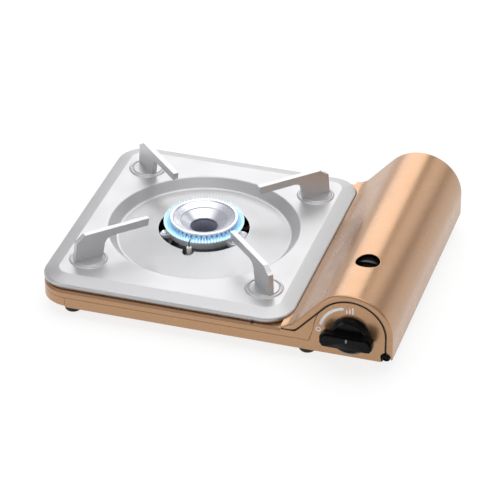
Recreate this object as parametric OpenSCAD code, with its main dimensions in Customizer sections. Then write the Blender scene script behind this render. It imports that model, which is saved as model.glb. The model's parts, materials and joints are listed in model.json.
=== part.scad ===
// Portable butane cassette stove: a slim table-top burner with a hinged canister cover.
// +X points to the canister side, -Y to the knob, +Z up. The origin is on the table, at the
// centre of the stove's outline.

/* [Body] */
// Width from the drip pan's left edge to the cover's right side
stove_w = 336; // [334:1:340]
// Depth of the body without the knob
body_d = 260; // [256:1:264]
// Height of the body's lower edge above the table
body_z = 10.5; // [9.5:0.5:11]
// Height of the seam between the lower and the upper pressing
seam_z = 20.6; // [19.6:0.2:21.6]
// Height of the shoulder that the pan's edge floats over
shoulder_z = 27.5; // [27:0.1:27.8]
// Corner radius of the body and the pan, in plan
corner_r = 27; // [24:1:30]
// Thickness of the pressed sheet metal
sheet = 1; // [0.8:0.1:1.1]

/* [Drip pan] */
// Width of the pan
pan_w = 239; // [236:1:240]
// Depth of the pan
pan_d = 254; // [250:1:256]
// Height of the pan's outer edge
pan_edge_z = 32.8; // [32.6:0.1:33.4]
// Height of the pan's flat
pan_flat_z = 36.5; // [36:0.1:37]
// Width of the sloping border
pan_bevel_w = 14; // [12:1:16]
// Radius of the dish where it leaves the flat
dish_r = 90.2; // [88:0.2:92]
// Radius of the dish at its lowest ring
dish_low_r = 82.5; // [81:0.5:84]
// Height of the dish at its lowest ring
dish_low_z = 26.8; // [26.6:0.1:28]
// Radius of the hole that the burner stands in
burner_hole_r = 42.6; // [42:0.2:44]
// Height of the dish at the burner hole
burner_hole_z = 35.4; // [34:0.2:36]
// Radius of the round pads under the pan supports
pad_r = 17; // [16:0.5:18]

/* [Pan supports] */
// Height of the supports' top edge, where a pot stands
support_top_z = 63.5; // [62:0.5:66]
// Thickness of a support
support_t = 5; // [4:0.5:6]
// Distance from the burner axis to a support's inner end
support_in_r = 57.5; // [54:0.5:60]
// Distance from the burner axis to a support's outer end
support_out_r = 133; // [131:0.5:134]
// Depth of a support's arm
support_arm_h = 7.6; // [6.5:0.1:9]

/* [Burner] */
// Burner axis, left of the stove's centre
burner_x = -47.9; // [-49:0.1:-47]
// Radius of the burner cap's rim
cap_r = 32; // [31:0.25:33]
// Height of the burner cap's rim
cap_z = 47.5; // [46.5:0.5:48.5]
// Radius of the air hole through the burner's middle
air_hole_r = 12.5; // [12:0.25:13]
// Number of flame ports
port_count = 40; // [24:2:48]

/* [Cover] */
// Outer radius of the cover's round back
cover_r = 39; // [38.8:0.1:39.2]
// Height of the cover's top
cover_top_z = 74; // [73.6:0.1:74.4]
// Slope of the cover's flank, in degrees
flank_a = 48; // [46:1:50]
// Radius of the hollow curve between flank and lip
lip_curve_r = 16; // [14:1:18]
// Height of the lip's upper face
lip_z = 30.8; // [30.6:0.1:31]
// Width of the cover's turned-in rim at each end
rim_w = 6; // [5:0.5:6.5]
// Radius of the sight hole
window_r = 11.2; // [9:0.2:13]

/* [Knob] */
// Knob axis, right of the stove's centre
knob_x = 129.5; // [129:0.1:130]
// Height of the knob axis
knob_z = 34.2; // [33.8:0.1:34.6]
// How far the knob stands out of the front
knob_reach = 15; // [13:0.5:16]
// Radius of the knob's skirt
knob_r = 18.5; // [17:0.5:19]
// Length of the knob's grip
grip_l = 46; // [42:0.5:48]
// How much further the grip reaches on its pointer side
pointer_l = 2; // [0:0.5:3]
// Height of the knob's grip
grip_h = 13.5; // [12:0.5:15]
// How far the grip's middle lies below the knob axis
grip_drop = 1; // [0:0.5:1.5]

/* [Canister] */
// Radius of a standard butane canister
can_r = 33.5; // [33.4:0.1:33.5]
// Length of the canister's shell, without its stem
can_l = 190; // [186:1:190]

/* [Hidden] */
$fn = 96;

GOLD = "burlywood";
SILVER = "silver";
DARK = "#222222";
STEEL = "lightgray";
BRASS = "goldenrod";

// Outline of the body and the pan
knob_side_y = -(body_d + knob_reach) / 2;
front_y = knob_side_y + knob_reach;
rear_y = front_y + body_d;
mid_y = (front_y + rear_y) / 2;
left_x = -stove_w / 2;
right_x = stove_w / 2;
body_left_x = left_x + 1.5;
pan_x0 = left_x;
pan_x1 = left_x + pan_w;
pan_y0 = mid_y - pan_d / 2;
pan_y1 = mid_y + pan_d / 2;
floor_z = body_z + sheet;
burner_y = mid_y;

// The hinge runs along Y at the lower right edge
hinge_r = 4.4;
hinge_x = right_x - sheet - hinge_r - 0.4;
hinge_z = 15.8;
hinge_rod_r = 2;
hinge_bush_l = 10;
bush_lug_h = 5;
knuckle_r = 4.3;
knuckle_l = 34;
running_gap = 0.05;
tray_right_x = hinge_x - knuckle_r - 0.9;

// The cover's section: a round back, a straight flank and a hollow curve down to the lip
cover_x = right_x - cover_r;
cover_z = cover_top_z - cover_r;
lip_curve_z = lip_z + lip_curve_r;
lip_curve_x = cover_x - (cover_r + lip_curve_r - (lip_curve_z - cover_z) * cos(flank_a))
    / sin(flank_a);
lip_tip_x = lip_curve_x - 0.5;
lip_low_z = shoulder_z + 0.5;
cover_low_z = hinge_z - 1.8;
bush_gap = 0.5;
flange_gap = 1;
pan_gap = 0.6;
tongue_l = 19.5;
edge_bevel = 2;

// The canister lies in the bay with its stem towards the knob
can_x = 128;
can_z = 37.4;
can_gap = 0.7;
bay_left_x = 91;
can_front_y = -69;

// Knob end of the bay
arch_r = 33;
arch_x = knob_x - 0.8;
arch_left_x = arch_x - arch_r - 4.6;
spindle_r = 4;
gland_front_y = -112;
gland_back_y = -104;
regulator_r = 19;
regulator_back_y = -80;
magnet_face_y = can_front_y - 0.4;
cam_y = front_y + 3.5;
cam_t = 5;
cam_r = 8;
cam_rise = 4;
cam_turn = 95;

// Index mark in the grip's front, near its top edge
index_w = 1.4;
index_h = 3.4;
index_z = knob_z - grip_drop + grip_h / 2 - 5;

// Gas line
tube_z = 18.9;
tube_r = 6.2;
tube_end_x = 58;
jet_x = 64;
pipe_r = 2;
pipe_x = 86;
pipe_y = -92;
pipe_bend = 7;

// Electrode in front of the burner
electrode_r = 40.6;
electrode_a = -92;
ceramic_r = 2.4;
ceramic_top_z = 38.2;
lead_r = 1.2;
lead_drop = [76.7, cam_y + cam_t / 2 + 1.4];
lead_hole_r = 3.4;

// Each support stands on a raised disc with a bead round it, held by two screws from below
pad_h = 1.2;
pad_bead_r = 1.2;
pad_hollow_r = pad_r - 3.8;
support_mid_r = support_out_r - 14;
support_screw_d = 8;
support_screw_r = 1.6;

ear_r = 38;
ear_z = 32;
ear_t = 3.4;
centre_tube_z = 35.6;
ear_angles = [-147, -27, 93];
support_angles = [225, 315, 45, 135];
foot_spots = [[-137, front_y + 16], [86, front_y + 16], [-137, rear_y - 16], [86, rear_y - 16]];

// ---- shared shapes ----

// Carries a section drawn in X and Z from y0 to y1
module along_y(y0, y1) {
    translate([0, y1, 0]) rotate([90, 0, 0]) linear_extrude(y1 - y0) children();
}

// Carries a section drawn in Y and Z from x0 to x1
module along_x(x0, x1) {
    translate([x0, 0, 0]) rotate([90, 0, 90]) linear_extrude(x1 - x0) children();
}

// A rounded rectangle between two corners
module round_rect(x0, x1, y0, y1, r) {
    translate([x0 + r, y0]) square([x1 - x0 - 2 * r, y1 - y0]);
    translate([x0, y0 + r]) square([x1 - x0, y1 - y0 - 2 * r]);
    for (x = [x0 + r, x1 - r], y = [y0 + r, y1 - r]) translate([x, y]) circle(r);
}

// A plate with rounded corners and upright sides
module slab(x0, x1, y0, y1, r, z0, z1) {
    translate([0, 0, z0]) linear_extrude(z1 - z0) round_rect(x0, x1, y0, y1, r);
}

// A plate with rounded corners whose sides lean in by inset over its height
module sloped_slab(x0, x1, y0, y1, r, z0, z1, inset) {
    along_x(x0 + r, x1 - r)
        polygon([[y0, z0], [y1, z0], [y1 - inset, z1], [y0 + inset, z1]]);
    along_y(y0 + r, y1 - r)
        polygon([[x0, z0], [x1, z0], [x1 - inset, z1], [x0 + inset, z1]]);
    for (x = [x0 + r, x1 - r], y = [y0 + r, y1 - r])
        translate([x, y, z0]) cylinder(z1 - z0, r, r - inset);
}

// A solid with upright sides whose top edge is bevelled
module bevelled_slab(x0, x1, y0, y1, r, z0, z1, bevel) {
    slab(x0, x1, y0, y1, r, z0, z1 - bevel);
    sloped_slab(x0, x1, y0, y1, r, z1 - bevel, z1, bevel);
}

// Puts its children on the burner axis
module at_burner(a = 0) {
    translate([burner_x, burner_y, 0]) rotate([0, 0, a]) children();
}

// A cylinder along Y from y0 to y1
module rod_y(x, z, r, y0, y1) {
    translate([x, y1, z]) rotate([90, 0, 0]) cylinder(y1 - y0, r, r);
}

// A cylinder along X from x0 to x1
module rod_x(y, z, r, x0, x1) {
    translate([x0, y, z]) rotate([0, 90, 0]) cylinder(x1 - x0, r, r);
}

// Revolves a half section, given as radius and distance, about an axis along Y
module turned_y(x, z, y0) {
    translate([x, y0, z]) rotate([-90, 0, 0]) rotate_extrude() children();
}

// Straight cylinders from point to point with a ball at each turn
module wire(points, r) {
    for (i = [0 : len(points) - 2]) {
        run = points[i + 1] - points[i];
        l = norm(run);
        translate(points[i]) rotate([0, acos(run.z / l), atan2(run.y, run.x)])
            cylinder(l, r, r, $fn = 24);
    }
    for (i = [1 : len(points) - 2]) translate(points[i]) sphere(r, $fn = 24);
}

function unit(v) = v / norm(v);

// Direction of a route at its point i
function heading(route, i) = let (last = len(route) - 1)
    i == 0 ? unit(route[1] - route[0])
    : i == last ? unit(route[last] - route[last - 1])
    : unit(unit(route[i] - route[i - 1]) + unit(route[i + 1] - route[i]));

// A tube of few sides, swept along a route
module swept(route, r, sides) {
    rings = len(route);
    skew = [1, 1, 1];
    points = [for (i = [0 : rings - 1]) let (h = heading(route, i), u = unit(cross(h, skew)),
        v = cross(h, u)) for (k = [0 : sides - 1]) let (a = 360 * k / sides)
        route[i] + r * (cos(a) * u + sin(a) * v)];
    walls = [for (i = [0 : rings - 2], k = [0 : sides - 1]) let (n = (k + 1) % sides)
        [i * sides + k, i * sides + n, (i + 1) * sides + n, (i + 1) * sides + k]];
    ends = [[for (k = [sides - 1 : -1 : 0]) k],
        [for (k = [0 : sides - 1]) (rings - 1) * sides + k]];
    polyhedron(points, concat(walls, ends));
}

// A pan-head screw on its shank, with its head on the plane z = 0
module screw(head_r, head_h, shank_r, shank_l) {
    difference() {
        cylinder(head_h, head_r, head_r * 0.8);
        for (a = [0, 90]) rotate([0, 0, a])
            translate([-head_r * 0.55, -0.4, head_h - 0.6]) cube([head_r * 1.1, 0.8, 1]);
    }
    translate([0, 0, -shank_l]) cylinder(shank_l, shank_r, shank_r);
}

// ---- sections of the canister bay ----

// The cover's section in X and Z, filled down to z_low and drawn in by inset
module bay_section(inset, z_low) {
    r = cover_r - inset;
    hollow = lip_curve_r + inset;
    lean = [-sin(flank_a), cos(flank_a)];
    difference() {
        union() {
            translate([cover_x, cover_z]) circle(r);
            translate([cover_x, z_low]) square([r, cover_z - z_low]);
            polygon([
                [cover_x, cover_z],
                [cover_x + r * lean.x, cover_z + r * lean.y],
                [lip_curve_x - hollow * lean.x, lip_curve_z - hollow * lean.y],
                [lip_curve_x, lip_curve_z],
                [lip_curve_x, lip_z - inset],
                [lip_tip_x + inset / 2, lip_z - inset],
                [lip_tip_x + inset / 2, z_low],
                [cover_x, z_low]
            ]);
        }
        translate([lip_curve_x, lip_curve_z]) circle(hollow);
        translate([0, z_low - 100]) square([400, 200], center = true);
    }
}

// The arched end of the knob panel, widened by grow
module arch_section(grow) {
    translate([arch_x, knob_z]) circle(arch_r + grow);
    polygon([
        [arch_x, knob_z],
        [arch_x - arch_r - grow, knob_z],
        [arch_left_x - grow, seam_z - 1],
        [arch_left_x - grow, body_z],
        [right_x, body_z],
        [right_x, knob_z]
    ]);
}

// The flat end face of the body: what stays when the cover opens
module end_face_section() {
    difference() {
        union() {
            bay_section(rim_w + flange_gap, body_z);
            translate([body_left_x + corner_r, body_z])
                square([lip_tip_x - body_left_x, shoulder_z - body_z]);
        }
        translate([hinge_x, hinge_z]) circle(hinge_r + bush_gap);
        translate([hinge_x - hinge_r, body_z - 1]) square([20, hinge_z - body_z + 1]);
    }
}

// The lower strip and the arch, as one panel
module panel_section() {
    intersection() {
        end_face_section();
        union() {
            translate([body_left_x + corner_r, body_z])
                square([tray_right_x - body_left_x - corner_r, seam_z - body_z]);
            arch_section(0);
        }
    }
}

// The upper pressing's end wall beside the arch, above the shoulder's level
module spandrel_section() {
    intersection() {
        end_face_section();
        translate([lip_tip_x, seam_z + 0.3]) square([200, 100]);
    }
}

// ---- body ----

// Lower pressing: floor with bevelled edge, walls, and a trough that the canister lies in
module base_tray() {
    trough_r = can_r + can_gap;
    trough_y0 = can_front_y - 1;
    trough_y1 = rear_y - 2;
    color(GOLD) difference() {
        union() {
            mirror([0, 0, 1]) bevelled_slab(body_left_x, tray_right_x, front_y, rear_y,
                corner_r, -seam_z, -body_z, edge_bevel);
            translate([tray_right_x - corner_r, front_y + edge_bevel, body_z])
                cube([corner_r, body_d - 2 * edge_bevel, seam_z - body_z]);
            intersection() {
                rod_y(can_x, can_z, trough_r + sheet, trough_y0 - sheet, trough_y1 + sheet);
                translate([can_x - 25, front_y, 0]) cube([50, body_d, body_z + 1]);
            }
        }
        mirror([0, 0, 1]) bevelled_slab(body_left_x + sheet, tray_right_x - sheet,
            front_y + sheet, rear_y - sheet, corner_r - sheet, -seam_z - 1, -floor_z,
            edge_bevel);
        translate([tray_right_x - corner_r - 1, front_y + edge_bevel + sheet, floor_z])
            cube([corner_r + 1 - sheet, body_d - 2 * (edge_bevel + sheet), seam_z]);
        rod_y(can_x, can_z, trough_r, trough_y0, trough_y1);
        // room for the two end panels and for the hinge bushes
        for (y = [front_y - 1, rear_y - sheet])
            translate([body_left_x + corner_r, y, 0]) cube([stove_w, sheet + 1, seam_z + 1]);
        for (y = [front_y - 1, rear_y - hinge_bush_l - 1])
            translate([tray_right_x - 3, y, 0]) cube([10, hinge_bush_l + 2, seam_z + 1]);
        // air slots under the burner
        at_burner() for (a = [20 : 40 : 340]) rotate([0, 0, a])
            translate([50, -3, body_z - 1]) cube([22, 6, sheet + 2]);
        // screw holes of the feet
        for (p = foot_spots) translate([p.x, p.y, body_z - 1]) cylinder(sheet + 2, 2.2, 2.2);
    }
}

// Front panel: lower strip and arched knob end, with the spindle hole
module front_panel() {
    color(GOLD) difference() {
        along_y(front_y, front_y + sheet) panel_section();
        rod_y(knob_x, knob_z, spindle_r + 0.6, front_y - 1, front_y + sheet + 1);
    }
}

// Rear panel: the same outline, with cooling slots
module rear_panel() {
    color(GOLD) difference() {
        along_y(rear_y - sheet, rear_y) panel_section();
        for (i = [-3 : 3]) translate([arch_x + i * 7 - 1.5, rear_y - sheet - 1, 34])
            cube([3, sheet + 2, 16 - abs(i) * 1.5]);
    }
}

// Upper pressing: shoulder, walls above the seam, end walls and the rim that holds the pan
module upper_case() {
    rim_in = sheet + 1;
    opening_in = 17;
    z0 = seam_z + 0.3;
    x1 = bay_left_x;
    color(GOLD) difference() {
        union() {
            difference() {
                union() {
                    bevelled_slab(body_left_x, x1, front_y, rear_y, corner_r, z0, shoulder_z,
                        edge_bevel);
                    translate([x1 - corner_r, front_y + edge_bevel, z0])
                        cube([corner_r, body_d - 2 * edge_bevel, shoulder_z - z0]);
                    for (y = [front_y, rear_y - sheet - 3]) translate([x1 - corner_r, y, z0])
                        cube([corner_r, sheet + 3, shoulder_z - z0 - edge_bevel]);
                }
                bevelled_slab(body_left_x + sheet, x1 + 60, front_y + sheet, rear_y - sheet,
                    corner_r - sheet, 0, shoulder_z - sheet, edge_bevel);
            }
            slab(pan_x0 + rim_in, pan_x1 - rim_in, pan_y0 + rim_in, pan_y1 - rim_in,
                corner_r - rim_in, shoulder_z - sheet, pan_edge_z - sheet + 0.2);
            for (y = [front_y, rear_y - sheet]) along_y(y, y + sheet) spandrel_section();
        }
        for (y = [front_y - 1, rear_y - sheet - 1]) along_y(y, y + sheet + 2)
            arch_section(0.4);
        slab(pan_x0 + rim_in + sheet, pan_x1 - rim_in - sheet, pan_y0 + rim_in + sheet,
            pan_y1 - rim_in - sheet, corner_r - rim_in - sheet, shoulder_z, pan_edge_z + 1);
        slab(pan_x0 + opening_in, pan_x1 - opening_in, pan_y0 + opening_in,
            pan_y1 - opening_in, corner_r - 8, 0, pan_edge_z + 1);
        translate([lead_drop.x, lead_drop.y, seam_z]) cylinder(shoulder_z, lead_hole_r, lead_hole_r);
    }
}

// Upright heat shield between the burner and the canister, with louvre slots
module bay_divider() {
    x0 = bay_left_x + 0.1;
    y0 = can_front_y + 1;
    y1 = rear_y - 5;
    top_z = 46;
    color(STEEL) difference() {
        union() {
            translate([x0, y0, floor_z]) cube([sheet, y1 - y0, top_z - floor_z]);
            translate([x0, y0, floor_z]) cube([8, y1 - y0, sheet]);
        }
        for (y = [y0 + 14 : 22 : y1 - 20])
            translate([x0 - 1, y, 32]) cube([4, 14, 4]);
    }
}

// Four moulded feet, each with a screw recess
module rubber_feet() {
    color(DARK) for (p = foot_spots) translate([p.x, p.y, 0]) difference() {
        union() {
            cylinder(1.5, 6.6, 7.8);
            translate([0, 0, 1.5]) cylinder(body_z - 1.5, 7.8, 7.8);
            translate([0, 0, body_z]) cylinder(sheet, 2.1, 2.1);
            translate([0, 0, floor_z]) cylinder(1.2, 3.6, 3.2);
        }
        translate([0, 0, -1]) cylinder(4, 3, 3);
    }
}

// Small buffers on the shoulder: two at the front, two at the back
module rubber_buffers() {
    color(DARK) for (x = [38, lip_tip_x + 1.4], y = [front_y + 2.4, rear_y - 2.4])
        translate([x, y, shoulder_z]) cylinder(x > 50 ? 0.4 : 1.3, 1.5, 1.1, $fn = 32);
}

// ---- burner ----

// Ring on the floor with three posts under the burner's ears
module burner_stand() {
    color(STEEL) at_burner() {
        difference() {
            translate([0, 0, floor_z]) cylinder(sheet, 43, 43);
            translate([0, 0, floor_z - 1]) cylinder(sheet + 2, 33, 33);
        }
        for (a = ear_angles) rotate([0, 0, a]) translate([ear_r, 0, floor_z + sheet])
            difference() {
                cylinder(ear_z - floor_z - sheet, 3, 3);
                translate([0, 0, ear_z - floor_z - sheet - 8]) cylinder(9, 1.6, 1.6);
            }
    }
}

// Die-cast lower half: cup, centre tube, inlet neck and three ears
module burner_body() {
    neck_r = 40;
    color(STEEL) at_burner() difference() {
        union() {
            rotate_extrude() polygon([
                [air_hole_r, 12.4], [23, 12.4], [25, 25], [33.5, 32], [35, 38], [36, 40],
                [36, 41.3], [33, 41.3], [32.6, 41], [0, 41], [0, 12.4]
            ]);
            for (a = ear_angles) rotate([0, 0, a]) translate([30, -4, ear_z])
                cube([ear_r - 30, 8, ear_t]);
            for (a = ear_angles) rotate([0, 0, a]) translate([ear_r, 0, ear_z])
                cylinder(ear_t, 4, 4);
            along_y(-7.5, 7.5) polygon([
                [20, 12.7], [neck_r + 5, 12.7], [neck_r + 5, 24.6], [neck_r, 31.5],
                [neck_r - 3, 33], [30, 33], [20, 25]
            ]);
        }
        // gas chamber round the centre tube
        rotate_extrude() polygon([
            [air_hole_r + 2, 14.5], [21, 14.5], [23, 26], [31, 33.4], [31, 42],
            [air_hole_r + 2, 42]
        ]);
        cylinder(50, air_hole_r, air_hole_r);
        translate([0, 0, centre_tube_z]) cylinder(10, air_hole_r + 2.1, air_hole_r + 2.1);
        rod_x(0, tube_z, tube_r - 1, 18, neck_r + 6);
        rod_x(0, tube_z, tube_r + running_gap, neck_r - 4, neck_r + 6);
        for (a = ear_angles) rotate([0, 0, a]) translate([ear_r, 0, 30])
            cylinder(8, 2, 2);
    }
}

// Upper crown: a dished ring with a slotted skirt that makes the flame ports
module burner_cap() {
    skirt_r = cap_r - 1.4;
    step_r = 22;
    step_z = cap_z - 3.6;
    seat_z = centre_tube_z + 0.05;
    color(SILVER) at_burner() difference() {
        rotate_extrude() polygon([
            [skirt_r - 3, 41], [skirt_r, 41], [skirt_r, cap_z - 2.2], [cap_r, cap_z - 1.6],
            [cap_r, cap_z - 0.4], [cap_r - 0.6, cap_z], [cap_r - 2.4, cap_z],
            [cap_r - 3.2, cap_z - 0.8], [step_r, step_z], [step_r - 0.3, step_z - 0.8],
            [air_hole_r + 0.8, seat_z + 2], [air_hole_r, seat_z + 1.3], [air_hole_r, seat_z],
            [air_hole_r + 2, seat_z],
            [step_r, step_z - 3], [skirt_r - 3, cap_z - 4.4]
        ]);
        for (i = [0 : port_count - 1]) rotate([0, 0, (i + 0.5) * 360 / port_count])
            translate([skirt_r - 4, -0.7, 41.8]) cube([6, 1.4, 3]);
    }
}

// Three screws that hold the burner's ears to the stand
module burner_screws() {
    color(STEEL) at_burner() for (a = ear_angles) rotate([0, 0, a])
        translate([ear_r, 0, ear_z + ear_t]) screw(3.1, 2, 1.55, 10.5);
}

// ---- gas line ----

// Mixing tube: plugs into the burner's neck, waists, and opens to a bell at the jet
module mixing_tube() {
    x0 = burner_x + 36.2;
    l = tube_end_x - x0;
    color(STEEL) translate([x0, burner_y, tube_z]) rotate([0, 90, 0]) rotate_extrude()
        polygon([
            [tube_r - 1, 0], [tube_r, 0], [tube_r, l * 0.35], [tube_r - 1.4, l * 0.6],
            [tube_r - 1.4, l * 0.75], [tube_r + 0.4, l], [tube_r - 0.6, l],
            [tube_r - 2.4, l * 0.75], [tube_r - 2.4, l * 0.6], [tube_r - 1, l * 0.35]
        ]);
}

// Brass jet that blows gas into the bell
module gas_jet() {
    l = jet_x - tube_end_x;
    color(BRASS) translate([tube_end_x + 1, burner_y, tube_z]) rotate([0, 90, 0]) difference() {
        union() {
            cylinder(4, 1.6, 2.6);
            translate([0, 0, 4]) cylinder(l + 3, 2.6, 2.6);
            translate([0, 0, l + 1]) cylinder(4, 5, 5, $fn = 6);
        }
        translate([0, 0, -1]) cylinder(30, 0.4, 0.4);
        translate([0, 0, 2]) cylinder(30, 1.2, 1.2);
    }
}

// Angle plate that holds the jet
module jet_bracket() {
    h = tube_z + 8 - floor_z;
    color(STEEL) difference() {
        union() {
            translate([jet_x - 1.3, burner_y - 10, floor_z]) cube([1.2, 20, h * 0.92]);
            translate([jet_x - 1.3, burner_y - 10, floor_z]) cube([12, 20, 1.2]);
        }
        rod_x(burner_y, tube_z, 2.65, jet_x - 3, jet_x + 3);
        for (y = [-6, 6]) translate([jet_x + 7, burner_y + y, floor_z - 1])
            cylinder(4, 1.6, 1.6, $fn = 32);
    }
}

// Bent tube from the regulator to the jet
module gas_pipe() {
    b = pipe_bend;
    x0 = jet_x + 8;
    x1 = can_x - regulator_r - 4;
    color(STEEL) {
        rod_x(burner_y, tube_z, pipe_r, x0, pipe_x - b);
        translate([pipe_x - b, burner_y - b, tube_z])
            rotate_extrude(angle = 90) translate([b, 0]) circle(pipe_r, $fn = 32);
        rod_y(pipe_x, tube_z, pipe_r, pipe_y + b, burner_y - b);
        translate([pipe_x + b, pipe_y + b, tube_z]) rotate([0, 0, 180])
            rotate_extrude(angle = 90) translate([b, 0]) circle(pipe_r, $fn = 32);
        rod_x(pipe_y, tube_z, pipe_r, pipe_x + b, x1);
    }
}

// Hexagon nuts at the two ends of the gas pipe
module pipe_nuts() {
    x0 = jet_x + 8;
    x1 = can_x - regulator_r - 4;
    color(BRASS) for (p = [[x0 + 0.1, burner_y], [x1 - 6, pipe_y]])
        translate([p.x, p.y, tube_z]) rotate([0, 90, 0]) difference() {
            cylinder(5, 4.6, 4.6, $fn = 6);
            translate([0, 0, -1]) cylinder(8, pipe_r, pipe_r);
        }
}

// ---- regulator and canister seat ----

// Die-cast regulator: drum, gland for the spindle, side port for the gas pipe
module regulator_body() {
    drum_l = regulator_back_y - gland_back_y;
    port_x = can_x - regulator_r - 4;
    color(STEEL) difference() {
        union() {
            turned_y(knob_x, knob_z, gland_front_y) polygon([
                [0, 0], [7, 0], [7.6, 0.6], [7.6, 8], [15, 8], [regulator_r, 12],
                [regulator_r, 8 + drum_l], [0, 8 + drum_l]
            ]);
            rod_x(pipe_y, tube_z, 5, port_x, can_x - 6);
            for (a = [-60, 60]) translate([knob_x, gland_back_y, knob_z])
                rotate([0, a, 0]) translate([0, 0, regulator_r + 1]) rotate([-90, 0, 0])
                translate([0, 0, 6]) cylinder(drum_l - 6, 3.4, 3.4);
        }
        rod_y(knob_x, knob_z, spindle_r + running_gap, gland_front_y - 1, gland_back_y + 2);
        rod_x(pipe_y, tube_z, pipe_r, port_x - 1, port_x + 2);
        rod_y(can_x, can_z, 3.5, regulator_back_y - 6, regulator_back_y + 1);
    }
}

// Round pressed cap over the regulator's diaphragm, on its left shoulder
module regulator_cover() {
    color(BRASS) translate([knob_x, regulator_back_y - 9, knob_z + regulator_r])
        rotate_extrude() polygon([
            [0, 0.1], [9, 0.1], [9, 1.6], [7.4, 2.2], [7, 5], [5.6, 6.4], [0, 6.8]
        ]);
}

// Angle that carries the regulator on the tray
module regulator_bracket() {
    x0 = knob_x - 16;
    w = 32;
    y = regulator_back_y - 12;
    z1 = knob_z - regulator_r + 1.4;
    color(STEEL) difference() {
        union() {
            translate([x0, y - 10, floor_z]) cube([w, 20, 1.2]);
            translate([knob_x - 7, y - 7, floor_z]) cube([14, 14, z1 - floor_z]);
        }
        rod_y(knob_x, knob_z, regulator_r + 0.05, y - 20, y + 20);
        rod_x(pipe_y, tube_z, 5.05, x0 - 1, can_x - 5.9);
        for (x = [x0 + 4, x0 + w - 4]) translate([x, y - 7, floor_z - 1])
            cylinder(4, 1.6, 1.6, $fn = 32);
    }
}

// Screws that hold the regulator bracket and the jet bracket to the tray
module bracket_screws() {
    y = regulator_back_y - 19;
    spots = [[knob_x - 12, y], [knob_x + 12, y], [jet_x + 7, burner_y - 6],
        [jet_x + 7, burner_y + 6]];
    color(STEEL) for (p = spots) translate([p.x, p.y, floor_z + 1.2])
        screw(2.8, 1.8, 1.5, 1.15);
}

// Steel cup that holds the magnet on the regulator's back
module magnet_yoke() {
    back = magnet_face_y - regulator_back_y;
    color(STEEL) turned_y(can_x, can_z, regulator_back_y) polygon([
        [5, 0.05], [24, 0.05], [24, back - 0.6], [22.6, back - 0.6], [22.6, 3.2],
        [10.4, 3.2], [10.4, back - 1.5], [5, back - 1.5]
    ]);
}

// Ring magnet that grips the canister's collar
module magnet_ring() {
    back = magnet_face_y - regulator_back_y;
    color(DARK) turned_y(can_x, can_z, regulator_back_y)
        translate([10.6, 3.25]) square([11.8, back - 3.25]);
}

// Rubber seat that closes round the canister's stem
module nozzle_seal() {
    color(DARK) turned_y(can_x, can_z, regulator_back_y)
        translate([2.1, 0.05]) square([2.8, 5]);
}

// ---- ignition ----

// Piezo igniter, a closed block whose plunger faces the cam
module igniter_body() {
    x0 = 86;
    x1 = 106;
    y = cam_y + cam_t / 2;
    color("white") difference() {
        union() {
            translate([x0, y - 4.8, knob_z - 5]) cube([x1 - x0, 9.6, 10]);
            translate([x0 + 6, y - 3, floor_z]) cube([8, 7.8, knob_z - 5 - floor_z]);
        }
        rod_x(y, knob_z, 2.5 + running_gap, x1 - 13, x1 + 1);
    }
}

// Plunger that the cam drives into the igniter
module igniter_plunger() {
    y = cam_y + cam_t / 2;
    tip_x = knob_x - cam_r - 0.8;
    color(DARK) {
        rod_x(y, knob_z, 2.5, 100, tip_x - 2);
        rod_x(y, knob_z, 3.2, tip_x - 2, tip_x);
    }
}

// High-tension lead, clipped along the tray from the igniter to the electrode
module ignition_lead() {
    a = electrode_a;
    ex = burner_x + electrode_r * cos(a);
    ey = burner_y + electrode_r * sin(a);
    iy = cam_y + cam_t / 2;
    z = floor_z + 3.2;
    color(DARK) swept([
        [85.9, iy, knob_z], [81, iy, knob_z - 1], [77, iy + 1, knob_z - 5],
        [75, iy + 4, z + 5], [72, iy + 7, z + 1], [66, iy + 8, z], [30, iy + 8, z],
        [ex + 30, iy + 8, z], [ex + 20, iy + 12, z], [ex + 14, iy + 20, z],
        [ex + 14, ey - 8, z], [ex + 12, ey - 3, z], [ex + 7, ey, z], [ex + 3, ey, z + 0.6],
        [ex + 0.6, ey, z + 2], [ex, ey, z + 4]
    ], lead_r, 8);
}

// White ceramic tube of the electrode
module electrode_ceramic() {
    z0 = floor_z + 7.3;
    color("white") at_burner(electrode_a) translate([electrode_r, 0, 0]) rotate_extrude()
        polygon([
            [0, z0], [ceramic_r, z0], [ceramic_r, ceramic_top_z - 0.6],
            [ceramic_r - 0.6, ceramic_top_z], [0, ceramic_top_z]
        ]);
}

// Spark wire, bent in over the ports
module electrode_pin() {
    color(STEEL) at_burner(electrode_a) wire([
        [electrode_r, 0, ceramic_top_z + 0.02], [electrode_r, 0, 42.5],
        [cap_r + 3, 0, 44.6]
    ], 0.6);
}

// Spring clip that holds the ceramic upright on the burner stand's ring
module electrode_clip() {
    z0 = floor_z + sheet;
    color(STEEL) at_burner(electrode_a) difference() {
        union() {
            translate([38, -4, z0]) cube([12, 8, 0.8]);
            translate([electrode_r + 5, -4, z0]) cube([0.8, 8, 16]);
            translate([electrode_r - 1, -4, z0 + 15.2]) cube([6.8, 8, 0.8]);
        }
        translate([electrode_r, 0, 0]) cylinder(60, ceramic_r + 0.02, ceramic_r + 0.02);
    }
}

// ---- hinge and cover ----

// Rod that the cover turns on, from bush to bush
module hinge_rod() {
    color(STEEL) rod_y(hinge_x, hinge_z, hinge_rod_r, front_y + 3, rear_y - 3);
}

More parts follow.
